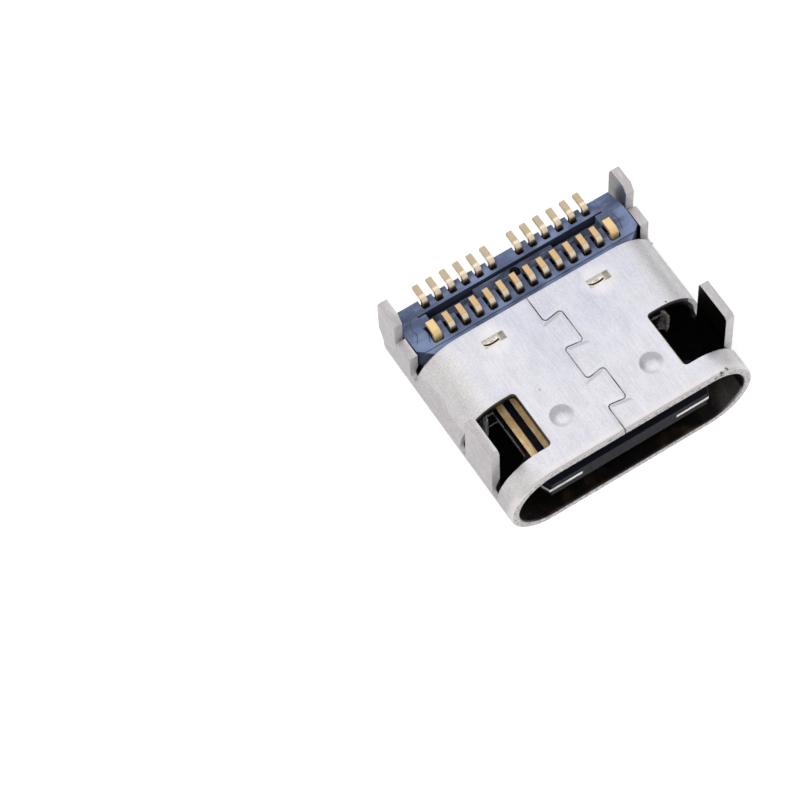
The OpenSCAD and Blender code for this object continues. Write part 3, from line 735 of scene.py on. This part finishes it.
@dataclass(frozen=True)
class GiltStrip:
    """Gilt copper alloy strip: pale and dull on the outer feet, with painted shade in the pockets and
    painted highlights at the bends and edges.

    Attributes:
        name: Name of the material.
        feet_from: Place along Y from which the feet's colour starts.
        feet_share: How much of the feet's colour shows there.
        face: Height of the board face.
        wall_end: Place of the board-side wall's rear edge along Y.
    """

    name: str
    feet_from: float
    feet_share: float
    face: float
    wall_end: float
    gilt: Colour = (0.90, 0.57, 0.25)
    dull: Colour = (0.50, 0.44, 0.34)
    tan: Colour = (0.66, 0.44, 0.22)
    # Painted highlight at the bends' crowns, on the turning faces behind the wall and on the edges.
    shine: Colour = (0.98, 0.86, 0.68)
    # Painted shade in the pockets and on the stems' faces towards the mouth.
    gilt_shade: Colour = (0.12, 0.07, 0.035)
    blotch: Layer = Layer(Pattern(5.0, offset=(4.0, 4.0, 1.0)), (0.40, 0.66), (0.97, 0.74, 0.42))
    streak: Pattern = Pattern(15.0, (1.0, 0.12, 0.12))
    streak_depth: float = 0.0008
    edge_radius: float = 0.03
    feet_soft: Span = (-0.03, 0.06)
    crown_span: Span = (-0.16, -0.02)
    pocket_span: Span = (-0.10, 0.16)
    behind_soft: float = 0.05
    haze: Span = (0.20, 0.34)
    foot_haze: float = 0.12
    metallic: Span = (0.35, 0.90)

    def colour(self, board: NodeBoard, feet: Socket, behind: Socket) -> Socket:
        """Colour of the strip, with masks of the feet and of all behind the board-side wall."""
        along, up, forward = board.axis("Y"), board.facing("Z"), board.facing("Y")
        foot = board.blend(self.feet_share, self.tan, self.dull)
        crown = board.band(along, *shift(self.crown_span, self.feet_from), 0.06)
        pocket = board.below(board.axis("Z"), *shift(self.pocket_span, self.face))
        turning = board.times(board.band(up, 0.35, 0.93, 0.06), board.below(forward, -0.4, -0.25))
        return board.stack(
            board.layer(self.gilt, self.blotch),
            (board.times(feet, 0.85), foot),
            # Painted highlight on the bends' crowns.
            (board.times(crown, board.rise(up, 0.5, 0.8), 0.85), self.shine),
            # Painted shade in the pockets and on the faces towards the mouth behind the wall.
            (board.times(pocket, behind, 0.9), self.gilt_shade),
            (board.times(board.below(forward, -0.92, -0.70), behind, 0.80), self.gilt_shade),
            # Painted highlights on the turning faces behind the wall and on the edges.
            (board.times(turning, behind, 0.8), self.shine),
            (board.times(board.edge_nearness(self.edge_radius), 0.4), self.shine),
        )

    def build(self) -> Material:
        """Makes the material."""
        board = NodeBoard(self.name)
        feet = board.rise(board.axis("Y"), *shift(self.feet_soft, self.feet_from))
        behind = board.rise(board.axis("Y"), self.wall_end, self.wall_end + self.behind_soft)
        streak = board.noise(self.streak)
        roughness = board.between(board.rise(streak, *MID_SPAN), *self.haze)
        roughness = board.plus(roughness, board.times(feet, self.foot_haze * self.feet_share))
        normal = board.bump(streak, self.streak_depth, board.bevel(self.edge_radius))
        metal = board.between(behind, *self.metallic)
        return board.finish(self.colour(board, feet, behind), roughness, metal, normal)


@dataclass(frozen=True)
class PlateSteel:
    """Plated steel, with painted shade on its broad faces, so that its edges show bright as a painted
    highlight.

    Attributes:
        name: Name of the material.
        gilt_from: Place along Y from which it is gilt, or None where it isn't.
    """

    name: str
    gilt_from: Optional[float] = None
    bright: Colour = (0.80, 0.78, 0.76)
    gilt: Colour = (0.80, 0.57, 0.28)
    # Painted shade on the broad faces.
    dark: Colour = (0.020, 0.018, 0.020)
    tarnish: Layer = Layer(Pattern(3.0), (0.50, 0.68), (0.52, 0.44, 0.36))
    metallic: float = 0.55
    haze: Span = (0.22, 0.34)
    bevel_radius: float = 0.05

    def build(self) -> Material:
        """Makes the material."""
        board = NodeBoard(self.name)
        # Painted shade on the broad faces away from the edges, which keep the bright colour as a painted
        # highlight.
        broad = board.rise(board.math("ABSOLUTE", board.facing("Z")), 0.6, 0.9)
        flat = board.times(broad, board.minus(1.0, board.edge_nearness(0.03)))
        colour = board.blend(flat, board.layer(self.bright, self.tarnish), self.dark)
        if self.gilt_from is not None:
            tail = board.rise(board.axis("Y"), self.gilt_from, self.gilt_from + 0.05)
            colour = board.blend(tail, colour, self.gilt)
        haze = board.between(board.rise(board.noise(self.tarnish.pattern), *MID_SPAN), *self.haze)
        return board.finish(colour, haze, self.metallic, board.bevel(self.bevel_radius))


@dataclass(frozen=True)
class SeamFill:
    """Grey metal at the bottom of the folded seam, with darker patches."""

    light: Colour = (0.50, 0.48, 0.50)
    patch: Layer = Layer(Pattern(1.6, offset=(3.0, 1.0, 2.0)), (0.42, 0.60), (0.10, 0.09, 0.09))
    grit: Pattern = Pattern(22.0, detail=2.0)
    roughness: Span = (0.35, 0.60)
    depth: float = 0.002

    def build(self) -> Material:
        """Makes the material."""
        board = NodeBoard("seam_fill")
        grit = board.noise(self.grit)
        colour = board.layer(self.light, self.patch)
        return board.finish(colour, board.between(grit, *self.roughness), 1.0, board.bump(grit, self.depth))


@dataclass(frozen=True)
class FlashLine:
    """Thin line of moulding flash or a hairline mark in the resin."""

    base: Colour = (0.020, 0.024, 0.040)
    tint: Colour = (0.10, 0.12, 0.17)
    tint_share: float = 0.5
    grit: Pattern = Pattern(26.0, detail=2.0)
    roughness: Span = (0.45, 0.70)
    depth: float = 0.002

    def build(self) -> Material:
        """Makes the material."""
        board = NodeBoard("flash_line")
        grit = board.noise(self.grit)
        colour = board.blend(board.times(grit, self.tint_share), self.base, self.tint)
        return board.finish(colour, board.between(grit, *self.roughness), 0.0, board.bump(grit, self.depth))


# ---- Strands that follow a path ----


class StrandTree(Wiring):
    """Geometry Nodes that turn a line of edges into a thin strand with rounded bends."""

    SIZES = (
        ("Radius", "NodeSocketFloat"),
        ("Bend", "NodeSocketFloat"),
        ("Step", "NodeSocketFloat"),
        ("Sway", "NodeSocketFloat"),
        ("Seed", "NodeSocketInt"),
        ("Finish", "NodeSocketMaterial"),
    )
    BEND_STEPS = 6
    SIDES = 8
    SWAY_SCALE = 5.0

    def __init__(self, name: str) -> None:
        """Builds the tree."""
        super().__init__(bpy.data.node_groups.new(name, "GeometryNodeTree"))
        sockets = self.tree.interface
        sockets.new_socket("Geometry", in_out="INPUT", socket_type="NodeSocketGeometry")
        for label, kind in self.SIZES:
            sockets.new_socket(label, in_out="INPUT", socket_type=kind)
        sockets.new_socket("Geometry", in_out="OUTPUT", socket_type="NodeSocketGeometry")
        given = self.add("NodeGroupInput", {}).outputs
        line = self.add("GeometryNodeMeshToCurve", {"Mesh": given["Geometry"]}).outputs["Curve"]
        inputs = {"Curve": line, "Count": self.BEND_STEPS, "Radius": given["Bend"], "Limit Radius": True}
        bent = self.add("GeometryNodeFilletCurve", inputs, mode="POLY").outputs["Curve"]
        inputs = {"Curve": bent, "Length": given["Step"]}
        even = self.add("GeometryNodeResampleCurve", inputs, mode="LENGTH").outputs["Curve"]
        inputs = {"Geometry": even, "Offset": self.sway(given)}
        moved = self.add("GeometryNodeSetPosition", inputs).outputs["Geometry"]
        inputs = {"Resolution": self.SIDES, "Radius": given["Radius"]}
        ring = self.add("GeometryNodeCurvePrimitiveCircle", inputs).outputs["Curve"]
        inputs = {"Curve": moved, "Profile Curve": ring, "Fill Caps": True}
        swept = self.add("GeometryNodeCurveToMesh", inputs).outputs["Mesh"]
        plain = self.add("GeometryNodeRealizeInstances", {"Geometry": swept}).outputs["Geometry"]
        inputs = {"Geometry": plain, "Material": given["Finish"]}
        finished = self.add("GeometryNodeSetMaterial", inputs).outputs["Geometry"]
        self.add("NodeGroupOutput", {"Geometry": finished})

    def sway(self, given: bpy.types.bpy_prop_collection) -> Socket:
        """Small uneven offset of the strand, from noise with the given seed."""
        place = self.add("GeometryNodeInputPosition", {}).outputs["Position"]
        inputs = {"Scale": self.SWAY_SCALE / MM, "Vector": place, "W": given["Seed"]}
        noise = self.add("ShaderNodeTexNoise", inputs, noise_dimensions="4D").outputs["Color"]
        centred = self.add("ShaderNodeVectorMath", {0: noise, 1: (0.5, 0.5, 0.5)}, operation="SUBTRACT")
        inputs = {0: centred.outputs["Vector"], "Scale": given["Sway"]}
        return self.add("ShaderNodeVectorMath", inputs, operation="SCALE").outputs["Vector"]

    def lay(self, name: str, path: Sequence[Point], sizes: dict[str, object]) -> bpy.types.Object:
        """Makes one strand as a plain mesh.

        Args:
            name: Name of the piece.
            path: Points that it follows, in millimetres.
            sizes: The tree's named inputs, with lengths in millimetres.

        Returns:
            The finished object.
        """
        line = bpy.data.meshes.new(f"{name}_line")
        points = [tuple(value * MM for value in point) for point in path]
        line.from_pydata(points, [(k, k + 1) for k in range(len(points) - 1)], [])
        maker = bpy.data.objects.new(f"{name}_maker", line)
        bpy.context.scene.collection.objects.link(maker)
        modifier = maker.modifiers.new("strand", "NODES")
        modifier.node_group = self.tree
        for item in self.tree.interface.items_tree:
            if item.in_out == "INPUT" and item.name in sizes:
                value = sizes[item.name]
                modifier[item.identifier] = value * MM if isinstance(value, float) else value
        evaluated = maker.evaluated_get(bpy.context.evaluated_depsgraph_get())
        mesh = bpy.data.meshes.new_from_object(evaluated)
        maker.modifiers.remove(modifier)
        bpy.data.objects.remove(maker)
        strand = bpy.data.objects.new(name, mesh)
        bpy.context.scene.collection.objects.link(strand)
        LOG.info("%s: %d faces", name, len(mesh.polygons))
        return strand


# ---- Sub-assemblies ----


def box_mm(node: str) -> tuple[Vector, Vector]:
    """Corners of a CAD node in millimetres."""
    low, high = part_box(node)
    return low / MM, high / MM


def dress(node: bpy.types.Object, material: Material) -> None:
    """Puts one material in every slot of a CAD node."""
    if not node.material_slots:
        node.data.materials.append(material)
    for held in node.material_slots:
        held.material = material
    LOG.info("dressed %s in %s", node.name, material.name)


@dataclass
class SheetShell:
    """The folded sheet shell, and the grey strand at the bottom of its seam.

    Attributes:
        nodes: The frame's CAD objects by name.
        strands: The tree that makes strands.
        face_drop: Drop from the board-side wall to the housing's board face.
        base_len: Length of the block behind the ground ring, up to the wall's rear edge.
        lance_back: Distance of the lances from the wall's rear edge.
        window: Ends of the corner windows along Y, from the mouth.
        dent: Distances of the dents from the middle and from the mouth.
        nicks: Places of the nicks beyond the flat wall's +X edge, behind the mouth and under
            the wall's outer face, each with its radius.
        fill_depth: Depth of the middle of the strand that fills the seam.
    """

    nodes: dict[str, bpy.types.Object]
    strands: StrandTree
    sheet: float = 0.30
    face_drop: float = 0.21
    base_len: float = 0.91
    lance_x: float = 1.95
    lance_back: float = 0.68
    window: Span = (0.84, 2.98)
    dent: Span = (1.66, 1.49)
    dent_drop: float = 0.05
    seam: SeamLayout = SeamLayout()
    nicks: tuple[tuple[float, float, float, float], ...] = (
        (0.62, 0.10, 0.10, 0.07),
        (0.38, 0.02, 0.10, 0.09),
        (0.15, 0.02, 0.10, 0.06),
        (0.36, 3.05, 0.05, 0.035),
        (-4.63, 2.62, 0.0, 0.028),
    )
    fill_radius: float = 0.024
    fill_depth: float = 0.028
    fill_step: float = 0.05
    fill_sway: float = 0.03
    fill_seed: int = 7

    def frame(self) -> SheetFrame:
        """Where the sheet lies, from the frame's own boxes."""
        low, high = box_mm(Piece.SHELL.value)
        top = box_mm(Piece.HOUSING.value)[1].z + self.face_drop
        wall_end = box_mm(Piece.GROUND_RING.value)[1].y + self.base_len
        return SheetFrame(high.x - top / 2, top, low.y, wall_end, self.sheet)

    def plating(self) -> ShellPlating:
        """The shell's finish, with its marks set out from the shell's own box."""
        place = self.frame()
        nicks = tuple(
            ((place.half_flat + across, place.mouth + back, place.top - drop), radius)
            for across, back, drop, radius in self.nicks
        )
        across, back = self.dent
        level = place.top - self.dent_drop
        dents = tuple((side * across, place.mouth + back, level) for side in BOTH_SIDES)
        lance = (self.lance_x, place.wall_end - place.mouth - self.lance_back)
        return ShellPlating(place, lance, self.window, self.seam, dents, nicks)

    def build(self) -> None:
        """Dresses the shell and fills the seam."""
        dress(self.nodes[Piece.SHELL.value], self.plating().build())
        place = self.frame()
        sizes = {
            "Radius": self.fill_radius,
            "Bend": self.seam.bend,
            "Step": self.fill_step,
            "Sway": self.fill_sway,
            "Seed": self.fill_seed,
            "Finish": SeamFill().build(),
        }
        path = self.seam.path(place.mouth, place.wall_end, place.top - self.fill_depth)
        fill = self.strands.lay("seam_fill", path, sizes)
        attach(fill, BODY)


@dataclass
class Moulding:
    """The housing, its two blocks and the fine lines of the mould.

    Attributes:
        nodes: The frame's CAD objects by name.
        strands: The tree that makes strands.
        wall_end: Place of the board-side wall's rear edge along Y.
        gate: Place of the gate mark along X and Y.
        ragged: Points of the rear face's flash line: across, and down from the board face.
        hairlines: Points of the board face's hairlines: across, and behind the wall's edge.
    """

    nodes: dict[str, bpy.types.Object]
    strands: StrandTree
    wall_end: float
    slate: Colour = (0.165, 0.215, 0.355)
    slate_deep: Colour = (0.078, 0.098, 0.170)
    pad: Colour = (0.072, 0.086, 0.137)
    pad_deep: Colour = (0.024, 0.028, 0.048)
    pad_texture: float = 0.004
    pad_roughness: float = 0.60
    gate: Span = (0.0, 2.755)
    gate_drop: float = 0.06
    ragged: tuple[Span, ...] = (
        (3.61, 1.04), (3.53, 0.70), (3.30, 0.58), (2.87, 0.63), (2.72, 0.95),
        (2.02, 0.72), (0.92, 0.67), (-0.75, 0.67), (-2.10, 0.58),
    )
    hairlines: tuple[tuple[Span, ...], ...] = (
        ((-3.95, 0.62), (-3.80, 0.86), (-3.86, 1.10), (-3.70, 1.42)),
        ((-3.60, 0.42), (-3.48, 0.70), (-3.52, 0.98)),
        ((-3.98, 1.30), (-3.62, 1.36), (-3.40, 1.28)),
        ((3.62, 0.45), (3.74, 0.85), (3.66, 1.20)),
    )
    flash_radius: float = 0.010
    flash_bend: float = 0.01
    flash_step: float = 0.06
    flash_sway: float = 0.05

    def flash_lines(self) -> dict[str, list[Point]]:
        """Jagged line of flash on the rear face, and hairlines on the board face."""
        high = box_mm(Piece.HOUSING.value)[1]
        lines = {"rear_flash": [(across, high.y, high.z - drop) for across, drop in self.ragged]}
        for count, mark in enumerate(self.hairlines, start=1):
            points = [(across, self.wall_end + back, high.z) for across, back in mark]
            lines[f"face_hairline_{count}"] = points
        return lines

    def build(self) -> None:
        """Dresses the three mouldings and lays the fine lines."""
        seat = (*self.gate, box_mm(Piece.INNER_BLOCK.value)[1].z - self.gate_drop)
        slate = (self.slate, self.slate_deep, self.wall_end)
        pad = (self.pad, self.pad_deep, self.wall_end, self.pad_texture, self.pad_roughness, seat)
        for piece, look in ((Piece.HOUSING, slate), (Piece.INNER_BLOCK, pad), (Piece.REAR_BLOCK, slate)):
            name = f"{piece.value}_resin"
            dress(self.nodes[piece.value], MouldedResin(name, *look).build())
        sizes = {
            "Radius": self.flash_radius,
            "Bend": self.flash_bend,
            "Step": self.flash_step,
            "Sway": self.flash_sway,
            "Finish": FlashLine().build(),
        }
        for seed, (name, path) in enumerate(self.flash_lines().items(), start=1):
            line = self.strands.lay(name, path, {**sizes, "Seed": seed})
            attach(line, BODY)


@dataclass
class Metalwork:
    """The contacts, the middle plate and the ground ring.

    Attributes:
        nodes: The frame's CAD objects by name.
        wall_end: Place of the board-side wall's rear edge along Y.
        foot: Length of a foot that takes the feet's colour.
        plate_bare: Length of the plate that isn't gilt behind the ground ring.
        shares: How much of the feet's colour each row's feet show.
    """

    nodes: dict[str, bpy.types.Object]
    wall_end: float
    foot: float = 0.42
    plate_bare: float = 0.3
    shares: tuple[tuple[Row, float], ...] = ((Row.OUTER, 0.9), (Row.INNER, 0.1))

    def build(self) -> None:
        """Dresses the contacts, the plate and the ring."""
        face = box_mm(Piece.HOUSING.value)[1].z
        for row, share in self.shares:
            feet = box_mm(f"{row.value}1")[1].y - self.foot
            gilt = GiltStrip(f"{row.name.lower()}_gilt", feet, share, face, self.wall_end).build()
            for name in sorted(n for n in self.nodes if n.startswith(row.value)):
                dress(self.nodes[name], gilt)
        back = box_mm(Piece.GROUND_RING.value)[1].y
        plate = PlateSteel("plate_steel", back + self.plate_bare).build()
        dress(self.nodes[Piece.MID_PLATE.value], plate)
        dress(self.nodes[Piece.GROUND_RING.value], PlateSteel("ring_steel").build())


# ---- Studio ----


@dataclass(frozen=True)
class Lamp:
    """A soft square lamp that looks at the part and isn't mirrored in it."""

    name: str
    azimuth: float
    elevation: float
    away: float
    side: float
    power: float

    def build(self) -> None:
        """Makes the lamp."""
        data = bpy.data.lights.new(self.name, "AREA")
        data.shape = "SQUARE"
        data.size = self.side * MM
        data.energy = self.power
        lamp = bpy.data.objects.new(self.name, data)
        lamp.visible_glossy = False
        back = bearing(self.azimuth, self.elevation)
        lamp.location = back * self.away * MM
        lamp.rotation_mode = "QUATERNION"
        lamp.rotation_quaternion = back.to_track_quat("Z", "Y")
        bpy.context.scene.collection.objects.link(lamp)


def bearing(azimuth: float, elevation: float) -> Vector:
    """Direction from the part, with 0 degrees of azimuth in front of the mouth."""
    turn, lift = math.radians(azimuth), math.radians(elevation)
    return Vector((math.sin(turn) * math.cos(lift), -math.cos(turn) * math.cos(lift), math.sin(lift)))


@dataclass
class Studio:
    """Floor, light and camera.

    Attributes:
        azimuth: Camera's azimuth about the part, in degrees.
        elevation: Its height above the horizon, in degrees.
        roll: Its turn about its own axis, in degrees.
        aim: The point aimed at, in millimetres.
        aim_right: Where that stands across the frame, from the middle, as a share of the width.
        aim_down: Where it stands down the frame, from the middle, as a share of the width.
        focal: Focal length as a share of the frame's width.
        clip: Nearest and farthest distance shown, in metres.
        ambient: Strength of the even light from all round.
        bright_side: Direction in which the mirrored sky is brightest.
        sky: Strength of the mirrored sky away from there, and at its brightest.
        sky_span: Cosines between which it changes.
        right_fall: How much darker the mirrored sky is on the +X side.
        floor_glow: Light that the floor adds for the camera, which leaves a soft shadow.
        floor_mirrored: Share of that light in reflections.
    """

    azimuth: float = -28.942
    elevation: float = 62.622
    roll: float = -3.982
    distance: float = 122.128
    aim: Point = (0.0, 0.6, 1.6)
    aim_right: float = 0.191
    aim_down: float = -0.0735
    focal: float = 4.860
    sensor: float = 36.0
    clip: Span = (0.001, 10.0)
    ambient: float = 0.55
    bright_side: Point = (0.25, 0.80, 0.58)
    sky: Span = (0.60, 1.10)
    sky_span: Span = (0.30, 0.95)
    right_fall: float = 0.06
    right_span: Span = (0.45, 1.0)
    floor_half: float = 400.0
    floor_drop: float = 0.002
    floor_grey: Colour = (0.80, 0.80, 0.80)
    floor_glow: float = 0.36
    floor_mirrored: float = 0.1
    lamps: tuple[Lamp, ...] = (
        Lamp("key", -60.0, 48.0, 260.0, 180.0, 0.42),
        Lamp("fill", 60.0, 40.0, 280.0, 160.0, 0.16),
        Lamp("top", 10.0, 84.0, 300.0, 200.0, 0.18),
    )

    def axes(self) -> tuple[Vector, Vector, Vector]:
        """The camera's own right, up and backward directions."""
        turn, roll = math.radians(self.azimuth), math.radians(self.roll)
        back = bearing(self.azimuth, self.elevation)
        level = Vector((math.cos(turn), math.sin(turn), 0.0))
        rise = back.cross(level)
        right = math.cos(roll) * level + math.sin(roll) * rise
        up = -math.sin(roll) * level + math.cos(roll) * rise
        return right, up, back

    def camera(self) -> None:
        """Makes the camera."""
        right, up, back = self.axes()
        data = bpy.data.cameras.new("camera")
        data.sensor_width = self.sensor
        data.lens = self.focal * self.sensor
        data.clip_start, data.clip_end = self.clip
        shift = self.distance / self.focal
        place = Vector(self.aim) + back * self.distance - right * self.aim_right * shift
        place += up * self.aim_down * shift
        camera = bpy.data.objects.new("camera", data)
        turned = Matrix((right, up, back)).transposed().to_4x4()
        camera.matrix_world = Matrix.Translation(place * MM) @ turned
        bpy.context.scene.collection.objects.link(camera)
        bpy.context.scene.camera = camera

    def seen(self, board: Wiring, mirrored: float) -> Socket:
        """1 for rays straight from the camera or through glass, and a share of that for mirrored ones."""
        rays = board.add("ShaderNodeLightPath", {}).outputs
        seen = board.larger(rays["Is Camera Ray"], board.times(rays["Is Glossy Ray"], mirrored))
        return board.larger(seen, rays["Is Transmission Ray"])

    def world(self) -> None:
        """Makes the surroundings: even light, and a pale sky that shows in reflections."""
        world = bpy.data.worlds.new("studio")
        world.use_nodes = True
        board = Wiring(world.node_tree)
        board.tree.nodes.clear()
        light = board.add("ShaderNodeBackground", {"Color": EVEN, "Strength": self.ambient})
        shown = board.add("ShaderNodeBackground", {"Color": EVEN, "Strength": self.backdrop(board)})
        seen = self.seen(board, 1.0)
        mix = board.add("ShaderNodeMixShader", {"Fac": seen, 1: light.outputs[0], 2: shown.outputs[0]})
        board.add("ShaderNodeOutputWorld", {"Surface": mix.outputs[0]})
        bpy.context.scene.world = world

    def backdrop(self, board: Wiring) -> Socket:
        """Strength of the sky: white for the camera, and greyer away from its bright side."""
        way = board.add("ShaderNodeTexCoord", {}).outputs["Generated"]
        inputs = {0: way, 1: Vector(self.bright_side).normalized()}
        towards = board.add("ShaderNodeVectorMath", inputs, operation="DOT_PRODUCT").outputs["Value"]
        glow = board.rise(towards, *self.sky_span, self.sky)
        across = board.add("ShaderNodeSeparateXYZ", {0: way}).outputs["X"]
        fall = board.rise(across, *self.right_span, (0.0, self.right_fall))
        seen = board.add("ShaderNodeLightPath", {}).outputs["Is Camera Ray"]
        return board.larger(board.minus(glow, fall), seen)

    def floor(self) -> None:
        """Makes the white floor, which keeps a soft shadow."""
        half = self.floor_half * MM
        mesh = bpy.data.meshes.new("floor")
        corners = [(-half, -half, 0), (half, -half, 0), (half, half, 0), (-half, half, 0)]
        mesh.from_pydata(corners, [], [(0, 1, 2, 3)])
        floor = bpy.data.objects.new("floor", mesh)
        floor.location.z = -self.floor_drop * MM
        bpy.context.scene.collection.objects.link(floor)
        board = NodeBoard("floor_white")
        matt = {"Base Color": self.floor_grey, "Roughness": 1.0, "Specular IOR Level": 0.0}
        for name, value in matt.items():
            board.feed(board.shader.inputs[name], value)
        strength = board.times(self.seen(board, self.floor_mirrored), self.floor_glow)
        glow = board.add("ShaderNodeEmission", {"Strength": strength})
        both = board.add("ShaderNodeAddShader", {0: board.shader.outputs["BSDF"], 1: glow.outputs[0]})
        board.feed(board.output.inputs["Surface"], both.outputs[0])
        mesh.materials.append(board.material)

    def build(self) -> None:
        """Makes everything round the part."""
        self.world()
        self.floor()
        for lamp in self.lamps:
            lamp.build()
        self.camera()
        bpy.context.scene.view_settings.view_transform = "Standard"


# ---- Whole part ----


def main() -> None:
    """Builds the looks round the frame."""
    logging.basicConfig(level=logging.INFO, format="%(name)s: %(message)s")
    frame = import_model()
    nodes = frame["nodes"]
    strands = StrandTree("strand")
    shell = SheetShell(nodes, strands)
    wall_end = shell.frame().wall_end
    shell.build()
    Moulding(nodes, strands, wall_end).build()
    Metalwork(nodes, wall_end).build()
    Studio().build()


if __name__ == "__main__":
    main()
